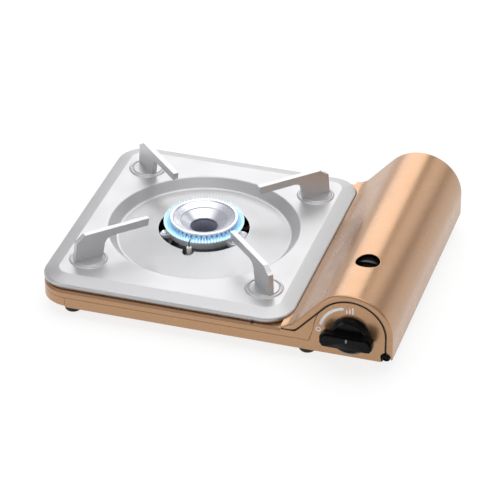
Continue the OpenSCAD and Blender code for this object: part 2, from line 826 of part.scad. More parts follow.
// Black bushes at both ends of the rod, each with a lug to the tray
module hinge_bushes() {
    l = hinge_bush_l;
    color(DARK) for (end = [0, 1]) translate([0, mid_y, 0]) mirror([0, end, 0])
        translate([0, -body_d / 2, 0]) difference() {
            union() {
                turned_y(hinge_x, hinge_z, 0) polygon([
                    [0, 0.9], [1.4, 0.9], [2, 0], [hinge_r - 1.2, 0], [hinge_r - 0.4, 0.4],
                    [hinge_r, 1.2], [hinge_r, l], [0, l]
                ]);
                translate([tray_right_x - 3, sheet + 0.05, body_z + 0.2])
                    cube([hinge_x - tray_right_x, l - sheet - 0.05, bush_lug_h]);
            }
            rod_y(hinge_x, hinge_z, hinge_rod_r, 3, l + 1);
        }
}

// The cover's bent sheet between two planes of Y
module cover_sheet(y0, y1) {
    difference() {
        along_y(y0, y1) bay_section(0, cover_low_z);
        along_y(y0 - 1, y1 + 1) bay_section(sheet, 0);
    }
}

// What the cover and its rims leave free: the shoulder, the pan, the hinge and its bushes
module cover_clearances() {
    translate([lip_tip_x - 5, front_y - 1, 0])
        cube([cover_x - lip_tip_x + 5, body_d + 2, lip_low_z]);
    slab(pan_x0, pan_x1 + pan_gap, pan_y0 - pan_gap, pan_y1 + pan_gap,
        corner_r + pan_gap, 0, lip_z + 10);
    for (y = [front_y - 1, rear_y - hinge_bush_l - 0.5])
        rod_y(hinge_x, hinge_z, hinge_r + bush_gap, y, y + hinge_bush_l + 1.5);
    translate([cover_x, front_y - 1, 0]) cube([cover_r - sheet, body_d + 2, hinge_z]);
}

// Cover shell: round back, flank and lip along the pan, with the sight hole
module canister_cover() {
    window_y = front_y + 61.5;
    window_x = cover_x - 1;
    color(GOLD) difference() {
        cover_sheet(front_y + sheet, rear_y - sheet);
        cover_clearances();
        translate([lip_tip_x - 5, front_y, 0])
            cube([pan_x1 + pan_gap - lip_tip_x + 5, body_d, cover_top_z]);
        translate([window_x, window_y, cover_z]) cylinder(cover_r + 5, window_r, window_r);
    }
}

// End rims: the turned-in border at each end, with a short tongue beside the pan's corner
module cover_rims() {
    color(GOLD) difference() {
        union() {
            for (y = [front_y, rear_y - sheet])
                along_y(y, y + sheet) bay_section(0, cover_low_z);
            intersection() {
                union() {
                    cover_sheet(front_y, front_y + tongue_l);
                    cover_sheet(rear_y - tongue_l, rear_y);
                }
                translate([lip_tip_x - 5, front_y, 0])
                    cube([pan_x1 + pan_gap - lip_tip_x + 5, body_d, cover_top_z]);
            }
        }
        along_y(front_y - 1, rear_y + 1) bay_section(rim_w, 0);
        cover_clearances();
    }
}

// Curled straps welded inside the cover's side, turning on the rod
module cover_knuckles() {
    wall_x = right_x - sheet;
    color(STEEL) for (y = [front_y + 40, rear_y - 40 - knuckle_l]) difference() {
        union() {
            rod_y(hinge_x, hinge_z, knuckle_r, y, y + knuckle_l);
            translate([wall_x - 1.25, y, hinge_z]) cube([1.2, knuckle_l, 18]);
        }
        rod_y(hinge_x, hinge_z, hinge_rod_r + running_gap, y - 1, y + knuckle_l + 1);
        translate([wall_x - 0.03, y - 1, 0]) cube([10, knuckle_l + 2, 60]);
    }
}

// ---- drip pan and supports ----

// Half section of the dish, t thick, from the burner hole out to the flat
module dish_section(t) {
    polygon([
        [burner_hole_r - 1, burner_hole_z], [dish_low_r - 3, dish_low_z + 0.6],
        [dish_low_r - 1, dish_low_z + 0.1], [dish_low_r + 0.6, dish_low_z + 0.5],
        [dish_r - 1.5, pan_flat_z - 1.2], [dish_r, pan_flat_z - 0.4],
        [dish_r + 2, pan_flat_z], [dish_r + 2, pan_flat_z - t],
        [dish_r + 0.6, pan_flat_z - t - 0.6], [dish_r, pan_flat_z - t - 1.4],
        [dish_low_r + 1.4, dish_low_z - t + 0.5], [dish_low_r - 1, dish_low_z - t],
        [dish_low_r - 3, dish_low_z + 0.6 - t], [burner_hole_r - 1, burner_hole_z - t]
    ]);
}

// Pressed pan: edge, sloping border, flat, dish, burner hole with notches, and four pads
module drip_pan() {
    edge_h = 3.8;
    color(SILVER) difference() {
        union() {
            difference() {
                union() {
                    slab(pan_x0, pan_x1, pan_y0, pan_y1, corner_r, pan_edge_z - edge_h,
                        pan_edge_z);
                    sloped_slab(pan_x0, pan_x1, pan_y0, pan_y1, corner_r, pan_edge_z,
                        pan_flat_z, pan_bevel_w);
                }
                slab(pan_x0 + sheet, pan_x1 - sheet, pan_y0 + sheet, pan_y1 - sheet,
                    corner_r - sheet, pan_edge_z - edge_h - 1, pan_edge_z - sheet);
                sloped_slab(pan_x0 + sheet, pan_x1 - sheet, pan_y0 + sheet, pan_y1 - sheet,
                    corner_r - sheet, pan_edge_z - sheet, pan_flat_z - sheet,
                    pan_bevel_w - sheet);
                at_burner() cylinder(60, dish_r + 2, dish_r + 2);
            }
            at_burner() rotate_extrude() dish_section(sheet);
            pads(pad_r - 2 * pad_bead_r, pad_r - 2.8, pan_flat_z - sheet, pad_h + sheet);
            for (a = support_angles) at_burner(a) translate([support_mid_r, 0, pan_flat_z])
                rotate_extrude() translate([pad_r - 0.8, 0]) circle(pad_bead_r);
        }
        pads(pad_hollow_r, pad_hollow_r, 0, pan_flat_z + pad_h - sheet);
        at_burner() cylinder(60, burner_hole_r, burner_hole_r);
        at_burner(electrode_a) translate([burner_hole_r + 1, 0, 0]) cylinder(60, 5.4, 5.4);
        for (a = support_angles) at_burner(a) for (s = [-1, 1])
            translate([support_mid_r + s * support_screw_d, 0, 30])
            cylinder(20, support_screw_r + 0.05, support_screw_r + 0.05);
    }
}

// The four raised discs, or the hollows under them
module pads(r_low, r_top, z, h) {
    for (a = support_angles) at_burner(a) translate([support_mid_r, 0, z])
        cylinder(h, r_low, r_top);
}

// One pan support: an upright foot, a chamfered shoulder and an arm over the dish
module pan_support(a) {
    top = support_top_z;
    low = pan_flat_z + pad_h;
    under = top - support_arm_h;
    out = support_out_r;
    foot_in = out - 27.5;
    bend = 9;
    color(STEEL) at_burner(a) difference() {
        along_y(-support_t / 2, support_t / 2) difference() {
            polygon([
                [support_in_r, top], [out - 10.6, top], [out - 4.6, top - 4.6],
                [out - 1.6, top - 6], [out, low], [foot_in, low], [foot_in - 2, under - bend],
                [foot_in - 2 - bend, under], [support_in_r + 1.4, under]
            ]);
            translate([foot_in - 2 - bend, under - bend]) circle(bend);
        }
        for (s = [-1, 1]) translate([support_mid_r + s * support_screw_d, 0, low - 1])
            cylinder(7, support_screw_r, support_screw_r);
    }
}

module pan_support_1() pan_support(support_angles[0]);
module pan_support_2() pan_support(support_angles[1]);
module pan_support_3() pan_support(support_angles[2]);
module pan_support_4() pan_support(support_angles[3]);

// Screws from under the pads into the supports' feet
module support_rivets() {
    under = pan_flat_z + pad_h - sheet;
    color(STEEL) for (a = support_angles) at_burner(a) for (s = [-1, 1])
        translate([support_mid_r + s * support_screw_d, 0, under]) {
            translate([0, 0, -1.2]) cylinder(1.2, 2.4, 2.8);
            cylinder(6, support_screw_r - 0.05, support_screw_r - 0.05);
        }
}

// ---- knob ----

// Knob: round skirt and a long grip with cut corners
module control_knob() {
    skirt_h = 6.5;
    face_y = knob_side_y;
    base_y = front_y - 0.4 - skirt_h;
    color(DARK) difference() {
        union() {
            turned_y(knob_x, knob_z, base_y) polygon([
                [0, 0], [knob_r - 3.6, 0], [knob_r - 0.8, 2.4], [knob_r, skirt_h],
                [knob_r - 1.6, skirt_h], [knob_r - 2.6, 3], [6, 3], [6, skirt_h],
                [0, skirt_h]
            ]);
            translate([knob_x, 0, knob_z - grip_drop]) {
                along_y(face_y + 2.5, base_y + 1.5) grip_section(0);
                along_y(face_y, face_y + 2.5) grip_section(1.4);
            }
        }
        rod_y(knob_x, knob_z, spindle_r, base_y + 1, front_y);
        translate([knob_x - index_w / 2, face_y - 1, index_z]) cube([index_w, 1.6, index_h]);
    }
}

// Grip outline, drawn in by inset; its left end reaches further and points to the dial
module grip_section(inset) {
    tip = -grip_l / 2 - pointer_l + inset;
    tail = grip_l / 2 - inset;
    h = grip_h / 2 - inset;
    cut = 3.4;
    polygon([
        [tip, -h + cut], [tip + cut * 0.7, -h], [tail - cut * 0.7, -h], [tail, -h + cut],
        [tail, h - cut], [tail - cut, h], [tip + cut, h], [tip, h - cut]
    ]);
}

// Inlaid index mark on the grip's front
module knob_index() {
    color("white") translate([knob_x - index_w / 2, knob_side_y + 0.05, index_z])
        cube([index_w, 0.53, index_h]);
}

// Spindle from the knob into the regulator
module knob_spindle() {
    color(STEEL) rod_y(knob_x, knob_z, spindle_r, front_y - 5.8, gland_back_y + 1);
}

// Snail cam on the spindle: its radius grows in step with the knob's turn
module igniter_cam() {
    rise = [for (a = [0 : 5 : cam_turn]) let (r = cam_r + cam_rise * a / cam_turn)
        [r * cos(180 - a), r * sin(180 - a)]];
    round = [for (a = [cam_turn + 15 : 15 : 345]) [cam_r * cos(180 - a), cam_r * sin(180 - a)]];
    color("ivory") translate([knob_x, 0, knob_z]) along_y(cam_y, cam_y + cam_t)
        difference() {
            polygon(concat(rise, round));
            circle(spindle_r);
        }
}

// ---- canister ----

// Drawn steel can: domed shoulder, seams at both ends, hollow inside
module can_shell() {
    r = can_r;
    l = can_l;
    t = 0.9;
    color(DARK) turned_y(can_x, can_z, can_front_y + 0.05) difference() {
        polygon([
            [0, 3.2], [12, 3.2], [12, 1], [14, 1], [15, 3], [27, 7], [31, 9.4], [r, 10],
            [r, 12.6], [r - 0.6, 13.4], [r - 0.6, l - 4.6], [r, l - 4], [r, l - 1], [r - 1, l],
            [r - 3, l], [r - 3, l - 3], [20, l - 6.5], [0, l - 8]
        ]);
        polygon([
            [0, 3.2 + t], [12, 3.2 + t], [14, 4.2], [26, 8.2], [30, 10.6], [r - 0.6 - t, 13],
            [r - 0.6 - t, l - 5], [r - 4, l - 5.2], [20, l - 7.6], [0, l - 9]
        ]);
    }
}

// Guide collar on the can's mouth, with its locating notch at the top
module can_collar() {
    color(STEEL) difference() {
        turned_y(can_x, can_z, can_front_y) polygon([
            [9.5, 0.05], [21.5, 0.05], [21.5, 1], [14.3, 1], [14.3, 0.98], [9.5, 0.98]
        ]);
        translate([can_x - 4, can_front_y - 5, can_z + 16]) cube([8, 10, 10]);
    }
}

// Valve cup and stem that the regulator presses open
module can_valve() {
    color("gold") turned_y(can_x, can_z, can_front_y - 9) polygon([
        [0, 0], [1.3, 0], [1.7, 0.6], [1.7, 6], [4, 6.6], [4, 8.4], [8.4, 8.8], [8.8, 12.1],
        [0, 12.1]
    ]);
}

base_tray();
front_panel();
rear_panel();
upper_case();
bay_divider();
rubber_feet();
rubber_buffers();
burner_stand();
burner_body();
burner_cap();
burner_screws();
mixing_tube();
gas_jet();
jet_bracket();
gas_pipe();
pipe_nuts();
regulator_body();
regulator_cover();
regulator_bracket();
bracket_screws();
magnet_yoke();
magnet_ring();
nozzle_seal();
igniter_body();
igniter_plunger();
ignition_lead();
electrode_ceramic();
electrode_pin();
electrode_clip();
hinge_rod();
hinge_bushes();
canister_cover();
cover_rims();
cover_knuckles();
drip_pan();
pan_support_1();
pan_support_2();
pan_support_3();
pan_support_4();
support_rivets();
control_knob();
knob_index();
knob_spindle();
igniter_cam();
can_shell();
can_collar();
can_valve();
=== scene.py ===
"""Looks of the butane cassette stove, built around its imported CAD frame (metres, +Z up)."""
import json
import math

import bmesh
import bpy
from mathutils import Matrix, Vector


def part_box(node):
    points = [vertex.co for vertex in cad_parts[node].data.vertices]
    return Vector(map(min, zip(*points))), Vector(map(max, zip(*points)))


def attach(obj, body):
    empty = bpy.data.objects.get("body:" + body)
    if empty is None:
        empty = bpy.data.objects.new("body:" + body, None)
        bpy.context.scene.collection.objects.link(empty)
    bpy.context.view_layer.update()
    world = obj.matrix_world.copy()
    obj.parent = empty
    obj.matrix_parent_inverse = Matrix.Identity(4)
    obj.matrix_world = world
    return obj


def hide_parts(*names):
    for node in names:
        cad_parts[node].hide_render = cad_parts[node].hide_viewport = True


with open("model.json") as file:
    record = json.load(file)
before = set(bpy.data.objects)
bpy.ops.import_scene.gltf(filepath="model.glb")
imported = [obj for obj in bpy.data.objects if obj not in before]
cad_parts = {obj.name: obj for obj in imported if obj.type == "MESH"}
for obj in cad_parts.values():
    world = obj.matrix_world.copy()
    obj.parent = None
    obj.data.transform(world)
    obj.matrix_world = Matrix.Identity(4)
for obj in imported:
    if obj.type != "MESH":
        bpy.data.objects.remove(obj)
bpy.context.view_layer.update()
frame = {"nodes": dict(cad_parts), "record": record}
nodes = frame["nodes"]
MM = 0.001


def node_box(name):
    """A CAD node's lowest and highest corners in millimetres."""
    return [Vector(corner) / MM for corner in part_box(name)]


# ---- shader node helpers ----

def add_node(tree, kind, inputs=None, **settings):
    """A new shader node; inputs maps a socket to another node's output or to a value."""
    node = tree.nodes.new("ShaderNode" + kind)
    for name, value in settings.items():
        setattr(node, name, value)
    for socket, source in (inputs or {}).items():
        if isinstance(source, bpy.types.NodeSocket):
            tree.links.new(source, node.inputs[socket])
        else:
            node.inputs[socket].default_value = source
    return node


def maths(tree, operation, *values):
    """The result of a math node on other nodes' outputs or plain numbers."""
    return add_node(tree, "Math", dict(enumerate(values)), operation=operation).outputs[0]


def map_range(tree, value, source, target=(0, 1)):
    """Maps value from the source range to the target range, and clamps it there."""
    node = add_node(tree, "MapRange", {
        "Value": value, "From Min": source[0], "From Max": source[1],
        "To Min": target[0], "To Max": target[1]})
    return node.outputs["Result"]


def color_ramp(tree, factor, stops):
    """A colour ramp over factor; each stop is a position and its red, green and blue."""
    node = add_node(tree, "ValToRGB", {"Fac": factor})
    elements = node.color_ramp.elements
    for element, (position, color) in zip(elements, (stops[0], stops[-1])):
        element.position = position
        element.color = (*color, 1)
    for position, color in stops[1:-1]:
        elements.new(position).color = (*color, 1)
    return node.outputs["Color"]


def mix_shaders(tree, share, first, second):
    """Two shaders mixed: only the first where share is 0, only the second where it is 1."""
    return add_node(tree, "MixShader", {"Fac": share, 1: first, 2: second}).outputs[0]


def object_place(tree):
    return add_node(tree, "TexCoord").outputs["Object"]


def flat_distance(tree, place):
    """Distance of a place from the upright axis through the origin."""
    flat = add_node(tree, "VectorMath", {0: place, 1: (1, 1, 0)}, operation="MULTIPLY")
    return add_node(tree, "VectorMath", {0: flat.outputs[0]}, operation="LENGTH").outputs["Value"]


def background_rays(tree):
    """1 for the rays that show the background: seen directly, in gloss or through glass."""
    path = add_node(tree, "LightPath").outputs
    seen = maths(tree, "MAXIMUM", path["Is Camera Ray"], path["Is Glossy Ray"])
    return maths(tree, "MAXIMUM", seen, path["Is Transmission Ray"])


# ---- camera, stage and lights (metres) ----

CAMERA_AZIMUTH = 17.13  # degrees, 0 looks along +Y
CAMERA_ELEVATION = 32.62
CAMERA_DISTANCE = 2.5982
CAMERA_TARGET = Vector((0.00294, -0.01191, 0.0315))
CAMERA_REACH = 50
LENS = 202.3
SENSOR = 36.0
WHITE = (1, 1, 1)
FLOOR_SIZE = 12
FLOOR_Z = -0.0002
FLOOR_GREY = (0.9, 0.9, 0.9)
FLOOR_GLOW = 1.06
GLOW_SHARE = 0.78  # the floor's part that is background; the rest of it takes the shadow
GLOW_FADE = (-0.030, -0.016)  # past the tray's edge, so both lie under the stove
ROOM_STRENGTH = 0.42
ROOM_STOPS = ((0.0, (0.58, 0.58, 0.59)), (0.75, WHITE))
BACKDROP_STOPS = ((0.03, WHITE), (0.28, (0.36, 0.36, 0.38)))  # by the ray's rise
LAMP_AIM = Vector((0, 0, 0.03))
LAMPS = (  # name, place, width, height, watts
    ("top_softbox", (0.1, 0.1, 1.7), 1.9, 2.0, 20),
    ("right_strip", (0.64, 1.4, 0.85), 0.55, 0.9, 1.5),
    ("back_softbox", (-0.43, 1.4, 0.96), 1.05, 1.25, 8.4),
    ("left_fill", (-1.3, -1.5, 0.8), 0.9, 0.8, 5),
)


def place_object(name, data, location, towards):
    """A new lamp or camera that looks along a direction."""
    thing = bpy.data.objects.new(name, data)
    thing.location = location
    thing.rotation_mode = "QUATERNION"
    thing.rotation_quaternion = towards.to_track_quat("-Z", "Y")
    bpy.context.collection.objects.link(thing)
    return thing


def make_camera():
    a = math.radians(CAMERA_AZIMUTH)
    e = math.radians(CAMERA_ELEVATION)
    back = Vector((math.sin(a) * math.cos(e), -math.cos(a) * math.cos(e), math.sin(e)))
    data = bpy.data.cameras.new("camera")
    data.lens = LENS
    data.sensor_width = SENSOR
    data.clip_end = CAMERA_REACH
    place = CAMERA_TARGET + back * CAMERA_DISTANCE
    bpy.context.scene.camera = place_object("camera", data, place, -back)


def clear_of_stove(tree):
    """0 on the floor under the stove, 1 outside it: how much of the background shows."""
    low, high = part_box("base_tray")
    axes = add_node(tree, "SeparateXYZ", {0: object_place(tree)}).outputs
    past = []
    for i, axis in enumerate("XY"):
        middle = (low[i] + high[i]) / 2
        distance = maths(tree, "ABSOLUTE", maths(tree, "SUBTRACT", axes[axis], middle))
        past.append(maths(tree, "SUBTRACT", distance, high[i] - middle))
    return map_range(tree, maths(tree, "MAXIMUM", *past), GLOW_FADE)


def empty_material(name):
    material = bpy.data.materials.new(name)
    material.use_nodes = True
    material.node_tree.nodes.clear()
    return material


def make_floor():
    """A pale floor: white where it is lit, with the object's shadow kept; clear from below."""
    material = empty_material("floor")
    tree = material.node_tree
    diffuse = add_node(tree, "BsdfDiffuse", {"Color": (*FLOOR_GREY, 1)})
    glow = add_node(tree, "Emission", {"Color": (*WHITE, 1), "Strength": FLOOR_GLOW})
    share = maths(tree, "MULTIPLY", background_rays(tree), GLOW_SHARE)
    share = maths(tree, "MULTIPLY", share, clear_of_stove(tree))
    above = mix_shaders(tree, share, diffuse.outputs[0], glow.outputs[0])
    from_below = add_node(tree, "NewGeometry").outputs["Backfacing"]
    clear = add_node(tree, "BsdfTransparent").outputs[0]
    surface = mix_shaders(tree, from_below, above, clear)
    add_node(tree, "OutputMaterial", {"Surface": surface})
    bpy.ops.mesh.primitive_plane_add(size=FLOOR_SIZE, location=(0, 0, FLOOR_Z))
    floor = bpy.context.object
    floor.name = "floor"
    floor.data.materials.append(material)


def make_world():
    """Studio room: white where it is the backdrop, soft grey where it lights the object."""
    world = bpy.data.worlds.new("studio")
    bpy.context.scene.world = world
    world.use_nodes = True
    tree = world.node_tree
    tree.nodes.clear()
    direction = add_node(tree, "TexCoord").outputs["Generated"]
    rise = add_node(tree, "SeparateXYZ", {0: direction}).outputs["Z"]
    room = add_node(tree, "Background", {
        "Color": color_ramp(tree, rise, ROOM_STOPS), "Strength": ROOM_STRENGTH})
    backdrop = add_node(tree, "Background", {
        "Color": color_ramp(tree, rise, BACKDROP_STOPS), "Strength": 1})
    surface = mix_shaders(tree, background_rays(tree), room.outputs[0], backdrop.outputs[0])
    add_node(tree, "OutputWorld", {"Surface": surface})


def make_lights():
    for name, place, width, height, watts in LAMPS:
        data = bpy.data.lights.new(name, "AREA")
        data.shape = "RECTANGLE"
        data.size = width
        data.size_y = height
        data.energy = watts
        lamp = place_object(name, data, place, LAMP_AIM - Vector(place))
        lamp.visible_camera = False


# ---- materials ----

cap_low, cap_high = node_box("burner_cap")
BURNER = ((cap_low.x + cap_high.x) / 2, (cap_low.y + cap_high.y) / 2)
NOISE_SPAN = (0.3, 0.7)  # most of a noise texture's values lie between these
# painted shade: the burner's centre tube is darkened inside this radius
BORE_R = 12.7  # inside this radius the burner's centre tube is darkened
SMOOTHEST = 0.02
FLAKE_DEPTH = 0.000012  # metres, as the next three
FINE_GRAIN = 0.00001
GRAIN = 0.00002
COARSE_GRAIN = 0.00006


class Shader:
    """A principled material with helpers for procedural colour, roughness and bump."""

    def __init__(self, name, color, roughness, metallic=0.0, **sockets):
        self.material = bpy.data.materials.new(name)
        self.material.use_nodes = True
        self.tree = self.material.node_tree
        self.bsdf = self.tree.nodes["Principled BSDF"]
        self.color = color
        self.roughness = roughness
        self.bsdf.inputs["Base Color"].default_value = (*color, 1)
        self.bsdf.inputs["Roughness"].default_value = roughness
        self.bsdf.inputs["Metallic"].default_value = metallic
        for socket, value in sockets.items():
            self.bsdf.inputs[socket.replace("_", " ")].default_value = value
        self.place = object_place(self.tree)
        self.normal = None

    def feed(self, socket, output):
        self.tree.links.new(output, self.bsdf.inputs[socket])

    def noise(self, scale, detail, stretch=None):
        place = self.place
        if stretch:
            place = add_node(self.tree, "Mapping", {"Vector": place, "Scale": stretch}).outputs[0]
        node = add_node(self.tree, "TexNoise", {"Vector": place, "Scale": scale, "Detail": detail})
        return node.outputs["Fac"]

    def vary_color(self, factor, spread):
        """Runs the base colour from darker to lighter by spread, over the noise's span."""
        dark = [max(0, c * (1 - spread)) for c in self.color]
        light = [min(1, c * (1 + spread)) for c in self.color]
        stops = list(zip(NOISE_SPAN, (dark, light)))
        self.feed("Base Color", color_ramp(self.tree, factor, stops))

    def paint_shade(self, near, far, color, above=-1.0):
        """Paints shade round the burner: mixes in a colour, full to near and gone at far, above a
        height.
        """
        tree = self.tree
        axis = (BURNER[0] * MM, BURNER[1] * MM, 0)
        offset = add_node(tree, "VectorMath", {0: self.place, 1: axis}, operation="SUBTRACT")
        fade = map_range(tree, flat_distance(tree, offset.outputs[0]), (near * MM, far * MM), (1, 0))
        height = add_node(tree, "SeparateXYZ", {0: self.place}).outputs["Z"]
        share = maths(tree, "MULTIPLY", fade, maths(tree, "GREATER_THAN", height, above * MM))
        before = self.bsdf.inputs["Base Color"].links[0].from_socket
        mix = add_node(tree, "Mix", {"Factor": share, "A": before, "B": (*color, 1)}, data_type="RGBA")
        self.feed("Base Color", mix.outputs["Result"])

    def vary_roughness(self, factor, spread):
        target = (max(SMOOTHEST, self.roughness - spread), min(1, self.roughness + spread))
        self.feed("Roughness", map_range(self.tree, factor, NOISE_SPAN, target))

    def bump(self, factor, depth):
        """Adds a bump of depth metres on top of any earlier one."""
        node = add_node(self.tree, "Bump", {"Distance": depth, "Height": factor})
        if self.normal is not None:
            self.tree.links.new(self.normal, node.inputs["Normal"])
        self.normal = node.outputs["Normal"]
        self.feed("Normal", self.normal)


def gold_paint():
    """Champagne-gold metallic paint: fine flake, slight orange peel, a clear coat, and painted shade
    on the gold round the burner.
    """
    s = Shader("gold_paint", (0.48, 0.28, 0.155), 0.29, 0.72, Coat_Weight=0.15, Coat_Roughness=0.2)
    flake = s.noise(2600, 2)
    s.vary_color(flake, 0.10)
    s.vary_roughness(s.noise(60, 4), 0.03)
    # painted shade: the gold within reach of the burner, above the tray's underside, darkened almost
    # to black
    s.paint_shade(60, 95, (0.035, 0.03, 0.028), above=11)
    s.bump(flake, FLAKE_DEPTH)
    s.bump(s.noise(420, 2), FINE_GRAIN)
    return s.material


def silver_enamel():
    """Satin silver-grey pan coating with a fine grain."""
    s = Shader("silver_enamel", (0.53, 0.53, 0.535), 0.40, 0.6)
    grain = s.noise(2300, 2)
    s.vary_color(grain, 0.07)
    s.vary_roughness(s.noise(35, 4), 0.04)
    s.bump(grain, GRAIN)
    return s.material


def support_metal():
    s = Shader("support_metal", (0.62, 0.62, 0.63), 0.34, 0.45)
    grain = s.noise(1900, 2)
    s.vary_color(grain, 0.06)
    s.vary_roughness(s.noise(80, 3), 0.05)
    s.bump(grain, GRAIN)
    return s.material


def polished_aluminium():
    s = Shader("polished_aluminium", (0.70, 0.71, 0.77), 0.30, 0.75)
    turning = s.noise(900, 2, (1, 1, 3))
    s.vary_color(s.noise(150, 4), 0.05)
    # painted shade inside the crown's centre hole
    s.paint_shade(BORE_R, BORE_R + 0.4, (0.36, 0.36, 0.44))
    s.vary_roughness(turning, 0.06)
    s.bump(turning, FINE_GRAIN)
    return s.material


def cast_aluminium():
    s = Shader("cast_aluminium", (0.88, 0.88, 0.92), 0.36, 0.2)
    s.vary_color(s.noise(220, 5), 0.08)
    # painted shade inside the burner's centre tube
    s.paint_shade(BORE_R, BORE_R + 0.5, (0.34, 0.34, 0.42))
    s.vary_roughness(s.noise(300, 4), 0.1)
    s.bump(s.noise(1200, 3), COARSE_GRAIN)
    return s.material


def plated_steel(name="zinc_steel", color=(0.62, 0.63, 0.64), roughness=0.32):
    s = Shader(name, color, roughness, 0.95)
    s.vary_color(s.noise(160, 5), 0.1)
    s.vary_roughness(s.noise(500, 3), 0.08)
    s.bump(s.noise(900, 3), GRAIN)
    return s.material


def turned_brass():
    s = Shader("brass", (0.74, 0.55, 0.24), 0.28, 1.0)
    s.vary_color(s.noise(200, 4), 0.12)
    s.bump(s.noise(1000, 2, (8, 1, 1)), GRAIN)
    return s.material


def black_gloss():
    """Glossy black moulding with faint dust and moulding grain."""
    s = Shader("black_gloss", (0.0035, 0.0035, 0.004), 0.2, 0.0, Specular_IOR_Level=0.12)
    s.vary_color(s.noise(300, 3), 0.35)
    s.vary_roughness(s.noise(90, 4), 0.06)
    s.bump(s.noise(1500, 2), FINE_GRAIN)
    return s.material


def black_rubber():
    s = Shader("rubber", (0.022, 0.022, 0.022), 0.72)
    s.vary_color(s.noise(400, 4), 0.4)
    s.bump(s.noise(1400, 4), COARSE_GRAIN)
    return s.material


def white_moulding(name="white_plastic", color=(0.86, 0.86, 0.84), roughness=0.45):
    s = Shader(name, color, roughness)
    s.vary_color(s.noise(260, 4), 0.04)
    s.bump(s.noise(900, 3), GRAIN)
    return s.material


def ferrite():
    s = Shader("magnet", (0.06, 0.06, 0.065), 0.55, 0.3)
    s.vary_color(s.noise(500, 5), 0.4)
    s.bump(s.noise(1300, 4), COARSE_GRAIN)
    return s.material


def canister_lacquer():
    s = Shader("canister_paint", (0.008, 0.008, 0.009), 0.2, 0.0, Specular_IOR_Level=0.2)
    s.vary_color(s.noise(40, 3), 0.5)
    s.vary_roughness(s.noise(120, 3), 0.05)
    s.bump(s.noise(600, 2), FINE_GRAIN)
    return s.material


def make_materials():
    rubber = black_rubber()
    return {
        "gold_paint": gold_paint(),
        "silver_enamel": silver_enamel(),
        "silver_support": support_metal(),
        "zinc_steel": plated_steel(),
        "bright_steel": plated_steel("bright_steel", (0.75, 0.75, 0.76), 0.22),
        "burnt_steel": plated_steel("burnt_steel", (0.10, 0.10, 0.12), 0.45),
        "die_casting": plated_steel("die_casting", (0.48, 0.48, 0.50), 0.42),
        "cast_aluminium": cast_aluminium(),
        "polished_aluminium": polished_aluminium(),
        "brass": turned_brass(),
        "rubber": rubber,
        "black_gloss": black_gloss(),
        "black_plastic": rubber,
        "white_plastic": white_moulding(),
        "dial_ink": white_moulding("dial_ink", (0.92, 0.93, 0.95), 0.5),
        "index_ink": white_moulding("index_ink", (0.30, 0.30, 0.31), 0.5),
        "lead_sleeve": rubber,
        "ceramic": white_moulding("ceramic", (0.9, 0.89, 0.86), 0.2),
        "magnet": ferrite(),
        "canister_paint": canister_lacquer(),
    }


OWN_FINISH = {
    "knob_index": "index_ink", "electrode_pin": "burnt_steel", "regulator_body": "die_casting",
}


def dress_cad(materials):
    """Gives every CAD node the finish of its slot; three nodes have one of their own."""
    for part in frame["record"]["subparts"]:
        name = part["node"]
        finish = OWN_FINISH.get(name, part["material_slot"])
        nodes[name].data.materials.clear()
        nodes[name].data.materials.append(materials[finish])


# ---- mesh helpers (millimetres in, metres out) ----

FILLET_SHARE = 0.49  # a fillet takes at most this much of each side next to it


def mesh_object(name, points, faces, material, sharp):
    """A smooth-shaded mesh whose edges stay crisp above the given angle in degrees."""
    mesh = bpy.data.meshes.new(name)
    mesh.from_pydata([Vector(p) * MM for p in points], [], faces)
    work = bmesh.new()
    work.from_mesh(mesh)
    bmesh.ops.recalc_face_normals(work, faces=work.faces)
    work.to_mesh(mesh)
    work.free()
    mesh.shade_smooth()
    mesh.set_sharp_from_angle(angle=math.radians(sharp))
    mesh.materials.append(material)
    piece = bpy.data.objects.new(name, mesh)
    bpy.context.collection.objects.link(piece)
    return piece


def shifted(faces, start):
    """Faces of a further part of a mesh, whose points begin at start."""
    return [tuple(start + v for v in face) for face in faces]


def grid_faces(rows, columns, closed):
    """Quads between rows of points; closed joins each row's last point to its first."""
    faces = []
    for i in range(rows - 1):
        for j in range(columns if closed else columns - 1):
            k = (j + 1) % columns
            a = i * columns
            b = a + columns
            faces.append((a + j, a + k, b + k, b + j))
    return faces


def rounded(corners, steps=6):
    """A path in the plane: corners are (u, v, fillet radius), the ends stay sharp."""
    path = []
    for i, (u, v, radius) in enumerate(corners):
        here = Vector((u, v))
        if radius == 0 or i in (0, len(corners) - 1):
            path.append(here)
            continue
        back = Vector(corners[i - 1][:2]) - here
        on = Vector(corners[i + 1][:2]) - here
        half = back.angle(on) / 2
        reach = min(radius / math.tan(half), FILLET_SHARE * back.length, FILLET_SHARE * on.length)
        middle = (back.normalized() + on.normalized()).normalized()
        centre = here + middle * (reach / math.cos(half))
        first = here + back.normalized() * reach - centre
        last = here + on.normalized() * reach - centre
        sweep = first.angle_signed(last)
        for k in range(steps + 1):
            turned = Matrix.Rotation(-sweep * k / steps, 2) @ first
            path.append(centre + turned)
    return path


def lathe(path, centre, steps, axis="Z"):
    """Points and faces of a path of (radius, distance along) turned about a Z or Y axis."""
    points = []
    for radius, along in path:
        for k in range(steps):
            a = 2 * math.pi * k / steps
            u = radius * math.cos(a)
            v = radius * math.sin(a)
            spot = (u, v, along) if axis == "Z" else (u, along, v)
            points.append([c + d for c, d in zip(centre, spot)])
    return points, grid_faces(len(path), steps, True)


def about_burner(radius, a, z):
    """A point at a radius, a direction in radians and a height round the burner's axis."""
    return (BURNER[0] + radius * math.cos(a), BURNER[1] + radius * math.sin(a), z)


def solid_sheet(piece, thickness):
    """Gives an open skin its sheet thickness, inwards from the seen side."""
    grow = piece.modifiers.new("sheet", "SOLIDIFY")
    grow.thickness = thickness * MM
    grow.offset = -1
    grow.use_even_offset = False


# ---- drip pan ----

